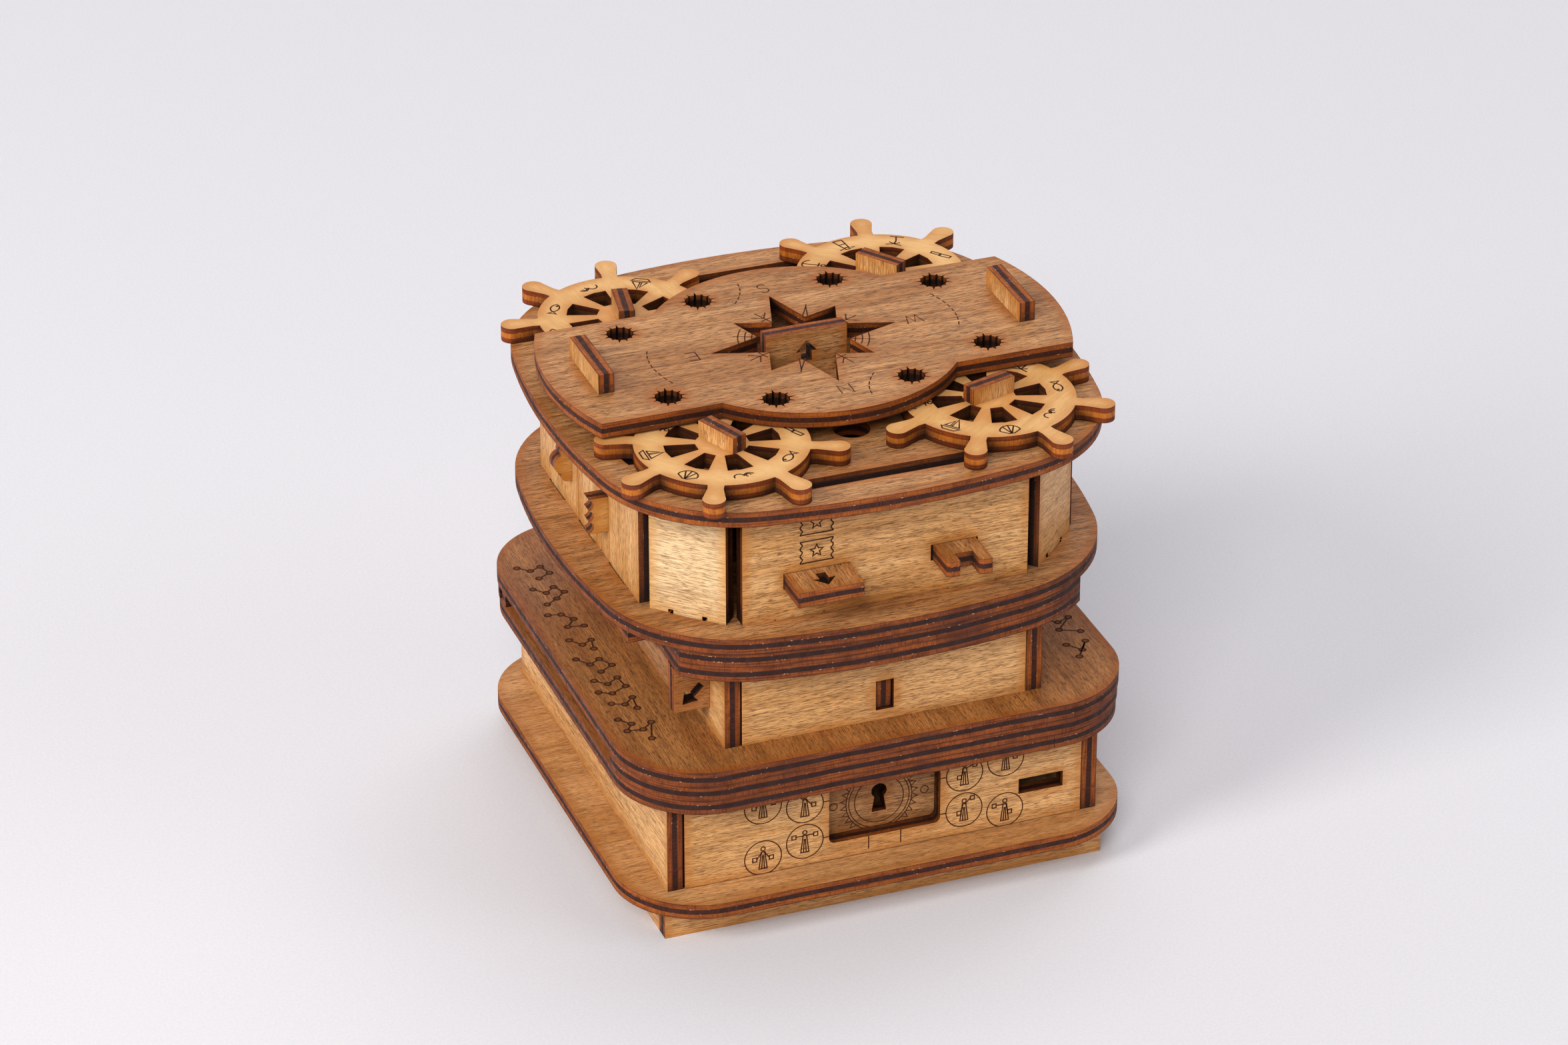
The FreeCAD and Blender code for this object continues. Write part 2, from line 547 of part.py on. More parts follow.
os.makedirs("parts", exist_ok=True)
for node, shape in parts.items():
    solids = len(shape.Solids)
    if not shape.isValid() or solids == 0:
        raise RuntimeError(node + " is not a valid solid")
    shape.exportStep("parts/" + node + ".step")
print(len(parts), "nodes,", sum(len(s.Solids) for s in parts.values()), "solids")
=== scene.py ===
"""Looks of the tiered puzzle box: stained plywood, burnt edges, marks, light and camera."""

import math

import bpy
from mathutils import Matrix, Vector


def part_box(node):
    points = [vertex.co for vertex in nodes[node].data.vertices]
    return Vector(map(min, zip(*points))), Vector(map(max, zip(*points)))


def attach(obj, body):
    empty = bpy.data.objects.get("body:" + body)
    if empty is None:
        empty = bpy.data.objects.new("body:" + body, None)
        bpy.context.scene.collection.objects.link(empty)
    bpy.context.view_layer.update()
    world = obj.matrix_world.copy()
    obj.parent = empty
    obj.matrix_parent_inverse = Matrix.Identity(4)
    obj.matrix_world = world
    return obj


MM = 0.001
SHEET = 4.0 * MM
X, Y, Z = (1, 0, 0), (0, 1, 0), (0, 0, 1)


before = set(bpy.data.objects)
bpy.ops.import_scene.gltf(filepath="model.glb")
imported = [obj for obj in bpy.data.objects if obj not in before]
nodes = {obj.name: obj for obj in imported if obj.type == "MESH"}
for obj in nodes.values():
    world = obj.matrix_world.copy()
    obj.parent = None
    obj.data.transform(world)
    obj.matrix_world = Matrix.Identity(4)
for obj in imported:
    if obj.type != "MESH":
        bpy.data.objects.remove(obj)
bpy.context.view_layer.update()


# --- node-tree helpers --------------------------------------------------------------
class Tree:
    """A short way to write a material's nodes: sockets are passed in, sockets come back."""

    def __init__(self, name):
        self.material = bpy.data.materials.new(name)
        self.material.use_nodes = True
        self.nodes = self.material.node_tree.nodes
        self.links = self.material.node_tree.links
        self.nodes.clear()
        self.shader = self.nodes.new("ShaderNodeBsdfPrincipled")
        output = self.nodes.new("ShaderNodeOutputMaterial")
        self.links.new(self.shader.outputs[0], output.inputs[0])
        coords = self.nodes.new("ShaderNodeTexCoord")
        self.position = coords.outputs["Object"]
        self.normal = coords.outputs["Normal"]

    def put(self, socket, value):
        if isinstance(value, bpy.types.NodeSocket):
            self.links.new(value, socket)
        elif value is not None:
            socket.default_value = value

    def math(self, operation, a, b=None):
        node = self.nodes.new("ShaderNodeMath")
        node.operation = operation
        self.put(node.inputs[0], a)
        self.put(node.inputs[1], b)
        return node.outputs[0]

    def dot(self, a, b):
        node = self.nodes.new("ShaderNodeVectorMath")
        node.operation = "DOT_PRODUCT"
        self.put(node.inputs[0], a)
        self.put(node.inputs[1], b)
        return node.outputs["Value"]

    def combine(self, x, y, z):
        node = self.nodes.new("ShaderNodeCombineXYZ")
        for socket, value in zip(node.inputs, (x, y, z)):
            self.put(socket, value)
        return node.outputs[0]

    def noise(self, vector, scale, detail=2.0, roughness=0.5, distortion=0.0):
        node = self.nodes.new("ShaderNodeTexNoise")
        self.put(node.inputs["Vector"], vector)
        node.inputs["Scale"].default_value = scale
        node.inputs["Detail"].default_value = detail
        node.inputs["Roughness"].default_value = roughness
        node.inputs["Distortion"].default_value = distortion
        return node.outputs["Fac"]

    def span(self, value, low, high, to_low=0.0, to_high=1.0):
        """Smooth step of value from low..high onto to_low..to_high."""
        node = self.nodes.new("ShaderNodeMapRange")
        node.interpolation_type = "SMOOTHSTEP"
        for socket, item in zip(node.inputs, (value, low, high, to_low, to_high)):
            self.put(socket, item)
        return node.outputs[0]

    def mix(self, factor, a, b):
        node = self.nodes.new("ShaderNodeMix")
        node.data_type = "RGBA"
        self.put(node.inputs[0], factor)
        self.put(node.inputs[6], a)
        self.put(node.inputs[7], b)
        return node.outputs[2]

    def bump(self, height, strength, distance, normal=None):
        node = self.nodes.new("ShaderNodeBump")
        node.inputs["Strength"].default_value = strength
        node.inputs["Distance"].default_value = distance
        self.put(node.inputs["Height"], height)
        self.put(node.inputs["Normal"], normal)
        return node.outputs[0]

    def soft_edges(self, radius):
        node = self.nodes.new("ShaderNodeBevel")
        node.samples = 4
        node.inputs["Radius"].default_value = radius
        return node.outputs[0]

    def openness(self, reach, inward=False):
        """1 where the surface lies open, towards 0 deep inside a cut or a corner.

        Looking inward it is 1 in the middle of a sheet and falls towards the sheet's own edges.
        """
        node = self.nodes.new("ShaderNodeAmbientOcclusion")
        node.samples = 4
        node.inside = node.only_local = inward
        node.inputs["Distance"].default_value = reach
        return node.outputs["AO"]


def rgba(r, g, b):
    return (r, g, b, 1.0)


# Tones in linear light: veneer pale, mid and dark, then the amber stain beside the cuts.
STAINED = dict(pale=(0.610, 0.302, 0.116), mid=(0.445, 0.190, 0.057), dark=(0.062, 0.021, 0.008),
               amber=(0.310, 0.086, 0.008), rough=0.46, figure=1.35)
DECK = dict(pale=(0.470, 0.195, 0.054), mid=(0.335, 0.120, 0.027), dark=(0.055, 0.019, 0.007),
            amber=(0.260, 0.060, 0.004), rough=0.44, figure=1.40)
WALL = dict(pale=(0.900, 0.520, 0.215), mid=(0.760, 0.392, 0.134), dark=(0.140, 0.052, 0.015),
            amber=(0.430, 0.140, 0.012), rough=0.40, figure=1.20)
# Front-left corner panel only: the wall veneer made paler, a painted highlight (sheen) on that one
# panel.
SILKY_PAINTED_SHEEN = dict(pale=(0.880, 0.640, 0.360), mid=(0.760, 0.480, 0.220), dark=(0.200, 0.085, 0.024),
             amber=(0.520, 0.230, 0.040), rough=0.34, figure=1.20)
BIRCH = dict(pale=(0.720, 0.430, 0.170), mid=(0.600, 0.320, 0.104), dark=(0.340, 0.145, 0.038),
             amber=(0.450, 0.160, 0.028), rough=0.42, figure=0.35)
# The base plate's stained veneer made lighter: painted light against the shade the base sits in.
FOOT_PAINTED_LIT = dict(pale=(0.670, 0.352, 0.138), mid=(0.520, 0.242, 0.078), dark=(0.110, 0.040, 0.013),
            amber=(0.330, 0.100, 0.012), rough=0.46, figure=1.10)
GOLDEN = dict(pale=(0.640, 0.330, 0.095), mid=(0.520, 0.245, 0.058), dark=(0.160, 0.060, 0.014),
              amber=(0.400, 0.140, 0.016), rough=0.42, figure=0.80)
RAW = dict(pale=(0.560, 0.360, 0.180), mid=(0.450, 0.265, 0.120), dark=(0.210, 0.100, 0.040),
           amber=(0.320, 0.130, 0.030), rough=0.6, figure=0.60)

# Burnt plies as (bright outer, dull outer, core); birch chars less in the middle.
BURNT_PLIES = ((0.380, 0.098, 0.012), (0.120, 0.024, 0.006), (0.030, 0.010, 0.007))
STACK_PLIES = ((0.290, 0.068, 0.010), (0.062, 0.014, 0.006), (0.024, 0.009, 0.007))
BIRCH_PLIES = ((0.290, 0.054, 0.006), (0.100, 0.019, 0.005), (0.500, 0.150, 0.016))
RIM = (0.060, 0.018, 0.008)
CHAR = (0.026, 0.011, 0.008)
GLUE = (0.66, 0.42, 0.24)
# painted shade: the near-black that edges take deep in cuts and beside other walls
SHADE_IN_CUTS = (0.010, 0.005, 0.004)

# Dark layers of the veneer: cycles per metre along and over the grain, offset, detail,
# roughness, then the noise where the layer begins, where it is full, and its strength.
GRAIN = {
    "streak": (55.0, 750.0, 2.0, 2.0, 0.50, 0.42, 0.74, 0.26),
    "fibre": (45.0, 4200.0, 4.0, 3.0, 0.60, 0.40, 0.75, 0.40),
    "fleck": (260.0, 3800.0, 9.0, 4.0, 0.65, 0.46, 0.72, 0.66),
    "pores": (460.0, 5000.0, 0.0, 2.0, 0.60, 0.51, 0.68, 0.68),
}

STAIN_REACH = 3.2 * MM      # how far the amber creeps in from a cut edge
SHADE_REACH = 7.0 * MM       # how near another wall must stand for the painted shade to fall
EDGE_ROUND = 0.22 * MM
RELIEF = 0.05 * MM


def plywood(name, tones, across, grain, start, mirrored=False, seed=0.0, plies=BURNT_PLIES):
    """Sheet wood: veneer where the surface faces `across`, three burnt plies on the edges.

    across and grain are unit vectors, start is where the sheet begins along across.
    """
    t = Tree(name)
    across, grain = Vector(across), Vector(grain)
    third = across.cross(grain)
    side = t.dot(t.position, tuple(across))
    if mirrored:
        side = t.math("ABSOLUTE", side)
    along = t.dot(t.position, tuple(grain))
    over = t.dot(t.position, tuple(third))
    depth = t.math("DIVIDE", t.math("SUBTRACT", side, start), SHEET)

    def stretched(per_along, per_over, last):
        return t.combine(t.math("MULTIPLY", along, per_along),
                         t.math("MULTIPLY", over, per_over), last)

    # veneer: long soft bands and blotches, then the dark layers of the grain
    pale, mid, dark, amber = (rgba(*tones[key]) for key in ("pale", "mid", "dark", "amber"))
    shift = 0.37 * seed + 1.0
    bands = t.noise(stretched(14.0, 120.0, shift), 1.0, 3.0, 0.55, 0.6)
    blotch = t.noise(t.combine(along, over, shift), 38.0, 2.0, 0.5)
    face = t.mix(t.span(bands, 0.34, 0.62), mid, pale)
    face = t.mix(t.span(blotch, 0.45, 0.75, 0.0, 0.35), face, mid)
    layer = {}
    for key, (per_along, per_over, offset, detail, roughness, low, high, strength) in GRAIN.items():
        layer[key] = t.noise(stretched(per_along, per_over, shift + offset), 1.0, detail, roughness)
        face = t.mix(t.span(layer[key], low, high, 0.0, tones["figure"] * strength), face, dark)

    # laser stain: amber that creeps in from every cut edge
    creep = t.span(t.openness(STAIN_REACH, inward=True), 0.58, 0.98, 1.0, 0.0)
    stain = t.math("MULTIPLY", creep, t.span(blotch, 0.30, 0.62, 0.45, 1.0))
    face = t.mix(t.math("MULTIPLY", stain, 0.75), face, amber)

    # edge: outer plies burnt orange to red, a charred core, fine streaks left by the beam,
    # pale specks on the glue lines and painted shade deep inside the cuts and beside other walls
    bright, dull, core = (rgba(*colour) for colour in plies)
    char = t.noise(t.position, 420.0, 3.0, 0.6)
    slow = t.noise(t.position, 60.0, 2.0, 0.5)
    striae = t.noise(stretched(2400.0, 2400.0, t.math("MULTIPLY", depth, 1.2)), 1.0, 3.0, 0.65)
    layers = t.noise(stretched(90.0, 90.0, t.math("MULTIPLY", depth, 13.0)), 1.0, 2.0, 0.6)
    wavy = t.math("ADD", depth, t.math("MULTIPLY", t.math("SUBTRACT", slow, 0.5), 0.10))
    from_middle = t.math("ABSOLUTE", t.math("SUBTRACT", wavy, 0.5))
    outer = t.mix(t.span(slow, 0.35, 0.75, 0.0, 0.6), bright, dull)
    outer = t.mix(t.span(layers, 0.42, 0.66, 0.0, 0.75), outer, dull)
    outer = t.mix(t.span(striae, 0.42, 0.72, 0.0, 0.70), outer, dull)
    inner = t.mix(t.span(striae, 0.40, 0.70, 0.0, 0.45), core, dull)
    edge = t.mix(t.span(from_middle, 0.14, 0.20), inner, outer)
    edge = t.mix(t.span(from_middle, 0.42, 0.50, 0.0, 0.75), edge, rgba(*RIM))
    edge = t.mix(t.span(char, 0.50, 0.78, 0.0, 0.45), edge, rgba(*CHAR))
    off_glue = t.math("ABSOLUTE", t.math("SUBTRACT", from_middle, 0.17))
    glue_line = t.math("SUBTRACT", 1.0, t.span(off_glue, 0.0, 0.035))
    speck = t.span(t.noise(t.position, 1500.0, 1.0, 0.5), 0.62, 0.68)
    speck = t.math("MULTIPLY", speck, t.span(t.noise(t.position, 230.0), 0.46, 0.58))
    speck = t.math("MULTIPLY", t.math("MULTIPLY", glue_line, speck), 0.9)
    edge = t.mix(speck, edge, rgba(*GLUE))
    # painted shade: edges darken where other walls stand near, deep in cuts and corners
    edge = t.mix(t.span(t.openness(SHADE_REACH), 0.35, 0.92, 0.94, 0.0), edge, rgba(*SHADE_IN_CUTS))

    facing = t.math("ABSOLUTE", t.dot(t.normal, tuple(across)))
    is_face = t.span(facing, 0.55, 0.80)
    t.put(t.shader.inputs["Base Color"], t.mix(is_face, edge, face))

    worn = t.span(layer["fleck"], 0.35, 0.75, tones["rough"] - 0.06, tones["rough"] + 0.16)
    charred = t.span(char, 0.3, 0.7, 0.52, 0.78)
    rough = t.math("ADD", t.math("MULTIPLY", worn, is_face),
                   t.math("MULTIPLY", charred, t.math("SUBTRACT", 1.0, is_face)))
    t.put(t.shader.inputs["Roughness"], rough)

    relief = t.math("SUBTRACT", t.math("MULTIPLY", layer["fibre"], 0.6),
                    t.span(layer["pores"], 0.52, 0.72))
    height = t.math("ADD", t.math("MULTIPLY", relief, is_face),
                    t.math("MULTIPLY", striae, t.math("SUBTRACT", 1.6, is_face)))
    t.put(t.shader.inputs["Normal"], t.bump(height, 0.55, RELIEF, t.soft_edges(EDGE_ROUND)))
    t.shader.inputs["Specular IOR Level"].default_value = 0.28
    t.shader.inputs["Anisotropic"].default_value = 0.75
    tangent = t.nodes.new("ShaderNodeVectorTransform")
    tangent.vector_type = "VECTOR"
    tangent.convert_from, tangent.convert_to = "OBJECT", "WORLD"
    tangent.inputs[0].default_value = tuple(third)
    t.put(t.shader.inputs["Tangent"], tangent.outputs[0])
    return t.material


def burnt(name, colour, edge):
    """Laser engraving: charred line, darker where the beam dwelt."""
    t = Tree(name)
    soot = t.noise(t.position, 900.0, 3.0, 0.6)
    t.put(t.shader.inputs["Base Color"], t.mix(t.span(soot, 0.35, 0.7), rgba(*colour), rgba(*edge)))
    t.put(t.shader.inputs["Roughness"], t.span(soot, 0.2, 0.8, 0.65, 0.92))
    t.put(t.shader.inputs["Normal"], t.bump(soot, 0.5, 0.04 * MM))
    t.shader.inputs["Specular IOR Level"].default_value = 0.12
    return t.material


# --- which way each sheet lies ------------------------------------------------------
WHEEL_X, WHEEL_Y = 34.0, 35.6           # wheel centres in mm, mirrored to all four corners
WHEELS = {"front_left": (-1, -1, 111.2), "front_right": (1, -1, 16.4),
          "rear_left": (-1, 1, 80.0), "rear_right": (1, 1, 124.0)}
CORNER_FACE = 62.5 * MM                 # inner faces of the sheets that aren't read from a box
PLINTH_FACE = 53.2 * MM
DRAWER_SIDE_FACE = 47.3 * MM


def lay(node, tones, across, grain, start=None, **more):
    """Give a CAD node its own plywood; the sheet begins at the node's low side unless told."""
    if start is None:
        axis = max(range(3), key=lambda i: abs(across[i]))
        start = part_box(node)[0][axis]
    seed = float(sum(map(ord, node)) % 97)
    material = plywood("ply_" + node, tones, across, grain, start, seed=seed, **more)
    mesh = nodes[node].data
    mesh.materials.clear()
    mesh.materials.append(material)


def polar(radius, degrees, x=0.0, y=0.0):
    a = math.radians(degrees)
    return (x + radius * math.cos(a), y + radius * math.sin(a))


# tones, the way across the sheet, the way of its grain, anything more, and the nodes
SHEETS = (
    (FOOT_PAINTED_LIT, Z, X, {}, "base_plate"),
    (STAINED, Z, X, dict(plies=STACK_PLIES), "collar_lower collar_middle collar_top"),
    (STAINED, Z, X, {}, "lid_plate compass_plate"),
    (DECK, Z, Y, dict(plies=STACK_PLIES), "deck_bottom deck_middle deck_top deck_end_piece"),
    (STAINED, Z, Y, {}, "arrow_tongue fork_key collar_slider collar_rail"),
    (WALL, Y, X, {}, "drawer_front upper_wall_front upper_wall_rear middle_wall_front"),
    (WALL, Y, X, {}, "middle_wall_rear lower_wall_rear"),
    (STAINED, Y, X, {}, "keyhole_plate side_arrow_plate pointer_plate"),
    (GOLDEN, Y, X, {}, "scallop_key clover_key"),
    (WALL, X, Y, {}, "lower_wall_left lower_wall_right middle_wall_left middle_wall_right"),
    (WALL, X, Z, {}, "upper_wall_left_front upper_wall_left_middle upper_wall_left_rear"),
    (WALL, X, Z, {}, "upper_wall_right end_tab_left end_tab_right"),
    (STAINED, X, Y, {}, "side_arrow_bar"),
    (STAINED, X, Z, dict(start=-SHEET / 2), "slot_strip"),
    (WALL, Y, X, dict(start=PLINTH_FACE, mirrored=True), "plinth_ends"),
    (WALL, X, Y, dict(start=PLINTH_FACE, mirrored=True), "plinth_sides"),
    (RAW, Z, Y, {}, "drawer_floor key_rests"),
    (RAW, X, Y, dict(start=DRAWER_SIDE_FACE, mirrored=True), "drawer_sides"),
    (RAW, Y, X, {}, "drawer_back"),
    (RAW, Z, X, {}, "compass_spacers"),
)
for tones, across, grain, more, names in SHEETS:
    for node in names.split():
        lay(node, tones, across, grain, **more)

for name, (sx, sy, turn) in WHEELS.items():
    across = (sx / math.sqrt(2), sy / math.sqrt(2), 0.0)
    # the front-left corner panel alone takes the paler tone, its painted highlight
    lay("corner_panel_" + name, SILKY_PAINTED_SHEEN if name == "front_left" else WALL,
        across, (-across[1], across[0], 0.0), start=CORNER_FACE)
    lay("wheel_" + name, BIRCH, Z, (*polar(1.0, turn + 20.0), 0.0), plies=BIRCH_PLIES)
    across = (*polar(1.0, turn + 90.0), 0.0)
    centre = (sx * WHEEL_X * across[0] + sy * WHEEL_Y * across[1]) * MM
    lay("hub_tab_" + name, WALL, across, Z, start=centre - SHEET / 2)
    lay("spindle_" + name, RAW, Z, X)

LINE = burnt("engraved_line", (0.050, 0.016, 0.008), (0.100, 0.030, 0.010))
SCORCH = burnt("scorched_line", (0.028, 0.011, 0.008), (0.060, 0.020, 0.010))
SINGED = burnt("singed_dot", (0.110, 0.036, 0.010), (0.190, 0.062, 0.014))


# --- engraved marks -----------------------------------------------------------------
# Lengths from here to the stamps are in mm. First the faces that carry marks.
WHEEL_TOP, COMPASS_TOP, DECK_TOP = 121.0, 125.6, 49.2
DRAWER_FACE, KEYHOLE_FACE, WALL_FACE = -56.4, -52.4, -55.7
SUNK = -0.02                # the foot of a mark lies this far inside the sheet
CREST = 0.8                 # share of a mark's width that is flat on top


class Plane:
    """A place on a sheet's face: origin, two directions in the face and the outward normal (mm)."""

    def __init__(self, origin, right, up):
        self.origin = Vector(origin)
        self.right = Vector(right).normalized()
        self.up = Vector(up).normalized()
        self.out = self.right.cross(self.up)

    def at(self, x, y, lift):
        return (self.origin + self.right * x + self.up * y + self.out * lift) * MM


def ribbon(points, width, closed, plane, lift, verts, faces):
    """Flat raised strip along a polyline, mitred at its corners."""
    count = len(points)
    first = len(verts)
    half = width / 2
    for i, (x, y) in enumerate(points):
        before = points[i - 1] if i > 0 or closed else None
        after = points[(i + 1) % count] if i < count - 1 or closed else None
        directions = []
        if before:
            directions.append(Vector((x - before[0], y - before[1])).normalized())
        if after:
            directions.append(Vector((after[0] - x, after[1] - y)).normalized())
        mean = sum(directions, Vector((0, 0)))
        mean = mean.normalized() if mean.length > 1e-6 else directions[0]
        normal = Vector((-mean.y, mean.x))
        stretch = max(0.5, normal.dot(Vector((-directions[0].y, directions[0].x))))
        reach = half / stretch
        for side, height in ((1, SUNK), (CREST, lift), (-CREST, lift), (-1, SUNK)):
            verts.append(plane.at(x + normal.x * reach * side, y + normal.y * reach * side, height))
    for i in range(count if closed else count - 1):
        a, b = first + 4 * i, first + 4 * ((i + 1) % count)
        for k in range(3):
            faces.append((a + k, b + k, b + k + 1, a + k + 1))
    if not closed:
        for i in (0, count - 1):
            a = first + 4 * i
            faces.append((a, a + 1, a + 2, a + 3))


def add(name, data):
    piece = bpy.data.objects.new(name, data)
    bpy.context.scene.collection.objects.link(piece)
    return piece


def engrave(name, body, plane, strokes, width, material=LINE, lift=0.03):
    """strokes: list of (points, closed). One mesh, riding on a body."""
    verts, faces = [], []
    for points, closed in strokes:
        ribbon(points, width, closed, plane, lift, verts, faces)
    mesh = bpy.data.meshes.new(name)
    mesh.from_pydata([tuple(v) for v in verts], [], faces)
    mesh.update()
    mesh.materials.append(material)
    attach(add(name, mesh), body)


def circle(x, y, radius, sides=32):
    return ([polar(radius, 360 * k / sides, x, y) for k in range(sides)], True)


def arc_line(x, y, radius, start, end, sides=12):
    step = (end - start) / sides
    return ([polar(radius, start + step * k, x, y) for k in range(sides + 1)], False)


def line(*points):
    return (list(points), False)


def loop(*points):
    return (list(points), True)


def moved(strokes, x, y, degrees=0.0, scale=1.0):
    c, s = math.cos(math.radians(degrees)) * scale, math.sin(math.radians(degrees)) * scale
    return [([(x + a * c - b * s, y + a * s + b * c) for a, b in points], closed)
            for points, closed in strokes]


# --- small pictures for the wheels, each about four units high ----------------------
ICONS = {
    "anchor": [circle(0, 1.7, 0.35, 12), line((0, 1.3), (0, -1.7)), line((-0.8, 0.9), (0.8, 0.9)),
               arc_line(0, -0.3, 1.5, 200, 340)],
    "sailboat": [loop((-1.6, -1.0), (1.6, -1.0), (1.0, -1.8), (-1.0, -1.8)),
                 loop((0, 1.8), (0, -0.6), (1.3, -0.6)),
                 loop((-0.3, 1.2), (-0.3, -0.6), (-1.2, -0.6))],
    "lighthouse": [line((-0.8, -1.9), (-0.45, 0.9), (0.45, 0.9), (0.8, -1.9), (-0.8, -1.9)),
                   loop((-0.4, 0.9), (-0.4, 1.5), (0.4, 1.5), (0.4, 0.9)),
                   line((-1.4, 1.3), (-0.7, 1.2)), line((0.7, 1.2), (1.4, 1.3)),
                   line((-0.6, -0.4), (0.6, -0.4))],
    "palm": [line((0.2, -1.8), (-0.1, -0.4), (0, 0.8)), line((0, 0.8), (-1.3, 1.2)),
             line((0, 0.8), (1.3, 1.2)), line((0, 0.8), (-0.9, 0.2)), line((0, 0.8), (0.9, 0.2)),
             line((-1.1, -1.8), (1.2, -1.8))],
    "fish": [arc_line(0, -0.9, 1.6, 35, 145), arc_line(0, 0.9, 1.6, 215, 325),
             line((1.3, 0), (2.0, 0.7), (2.0, -0.7), (1.3, 0)), circle(-0.7, 0.15, 0.12, 8)],
    "shell": [arc_line(0, -0.6, 1.6, 0, 180),
              line((-1.6, -0.6), (-0.4, -1.6), (0.4, -1.6), (1.6, -0.6)),
              line((0, -1.6), (0, 1.0)), line((0, -1.6), (-0.9, 0.7)), line((0, -1.6), (0.9, 0.7))],
    "barrel": [loop((-0.9, -1.5), (-1.2, 0), (-0.9, 1.5), (0.9, 1.5), (1.2, 0), (0.9, -1.5)),
               line((-1.1, 0.7), (1.1, 0.7)), line((-1.1, -0.7), (1.1, -0.7))],
    "telescope": [loop((-1.8, -0.9), (-1.5, -1.5), (0.1, -0.7), (-0.2, 0.0)),
                  loop((0.0, -0.1), (0.3, -0.6), (1.7, 0.1), (1.4, 0.6))],
    "wave": [arc_line(-1.0, 0, 0.8, 0, 200), arc_line(0.6, 0, 0.8, 180, 20),
             arc_line(0.5, 0.1, 0.4, 0, 250)],
}
ICON_ORDER = ["anchor", "telescope", "sailboat", "palm", "shell", "lighthouse", "wave", "barrel",
              "fish"]
ICON_REACH = 17.3
ICON_SCALE = 1.55

for index, (name, (sx, sy, turn)) in enumerate(WHEELS.items()):
    strokes = []
    for k in range(8):
        angle = turn + 22.5 + 45 * k
        icon = ICONS[ICON_ORDER[(k * 2 + index * 3) % len(ICON_ORDER)]]
        strokes += moved(icon, *polar(ICON_REACH, angle), angle + 90, ICON_SCALE)
    top = Plane((sx * WHEEL_X, sy * WHEEL_Y, WHEEL_TOP), X, Y)
    engrave("wheel_icons_" + name, "wheel_" + name, top, strokes, 0.44, SCORCH)


# --- compass plate ------------------------------------------------------------------
face = Plane((0, 0, COMPASS_TOP), X, Y)
letters = {
    "N": [line((-1.1, -1.5), (-1.1, 1.5), (1.1, -1.5), (1.1, 1.5))],
    "S": [arc_line(0, 0.75, 0.8, 30, 270), arc_line(0, -0.75, 0.8, 90, -150)],
    "E": [line((1.0, 1.5), (-0.9, 1.5), (-0.9, -1.5), (1.0, -1.5)), line((-0.9, 0), (0.7, 0))],
    "W": [line((-1.5, 1.5), (-0.8, -1.5), (0, 1.0), (0.8, -1.5), (1.5, 1.5))],
}
places = {"N": (0, -28.4), "S": (0, 28.4), "E": (-28.6, 0), "W": (28.6, 0)}
rose = []
for letter, (x, y) in places.items():
    rose += moved(letters[letter], x, y, 180, 1.4)
for k in range(8):
    middle = 22.5 + 45 * k
    if k in (3, 7):                     # east and west: a web of arcs across the valley
        for radius, half in ((12.6, 6.5), (14.3, 10.0), (16.0, 13.5)):
            rose.append(arc_line(0, 0, radius, middle - half, middle + half, 8))
        spokes = [(0.0, 11.2, 0.0, 17.2)]       # angle off the middle and reach, at either end
    elif k in (1, 5):                   # north and south: a slim needle
        spokes = [(-4.0, 10.8, 0.0, 16.6), (4.0, 10.8, 0.0, 16.6), (0.0, 16.6, 0.0, 18.0)]
    else:                               # the other valleys: a barbed spoke
        rose.append(arc_line(0, 0, 13.4, middle - 7.0, middle + 7.0, 6))
        spokes = [(0.0, 11.0, 0.0, 17.6), (0.0, 14.2, -8.0, 16.4), (0.0, 14.2, 8.0, 16.4)]
    for turn_a, reach_a, turn_b, reach_b in spokes:
        rose.append(line(polar(reach_a, middle + turn_a), polar(reach_b, middle + turn_b)))
engrave("compass_rose_lines", "lid", face, rose, 0.38)


DASH, GAP = 1.5, 0.9
TINY = 1e-6


def dashes(points):
    """Cut a polyline into short strokes."""
    out, travelled, on, stroke = [], 0.0, True, [points[0]]
    for a, b in zip(points, points[1:]):
        length = math.dist(a, b)
        done = 0.0
        while length - done > TINY:
            left = (DASH if on else GAP) - travelled
            step = min(left, length - done)
            done += step
            travelled += step
            p = (a[0] + (b[0] - a[0]) * done / length, a[1] + (b[1] - a[1]) * done / length)
            stroke.append(p)
            if travelled >= (DASH if on else GAP) - TINY:
                if on:
                    out.append((stroke, False))
                on, travelled, stroke = not on, 0.0, [p]
    return out


def bend(p, q, r, sides=24):
    """Quadratic curve through three control points."""
    points = []
    for k in range(sides + 1):
        t = k / sides
        points.append(tuple((1 - t) ** 2 * a + 2 * t * (1 - t) * b + t * t * c
                            for a, b, c in zip(p, q, r)))
    return points


course = []
for sign in (1, -1):
    for bow in (((-38.0, 6.5), (-41.4, -2.0), (-37.2, -12.4)),
                ((-5.0, 33.0), (-5.2, 27.5), (-10.2, 22.0))):
        course += dashes(bend(*[(sign * x, sign * y) for x, y in bow]))
engrave("compass_course", "lid", face, course, 0.38)


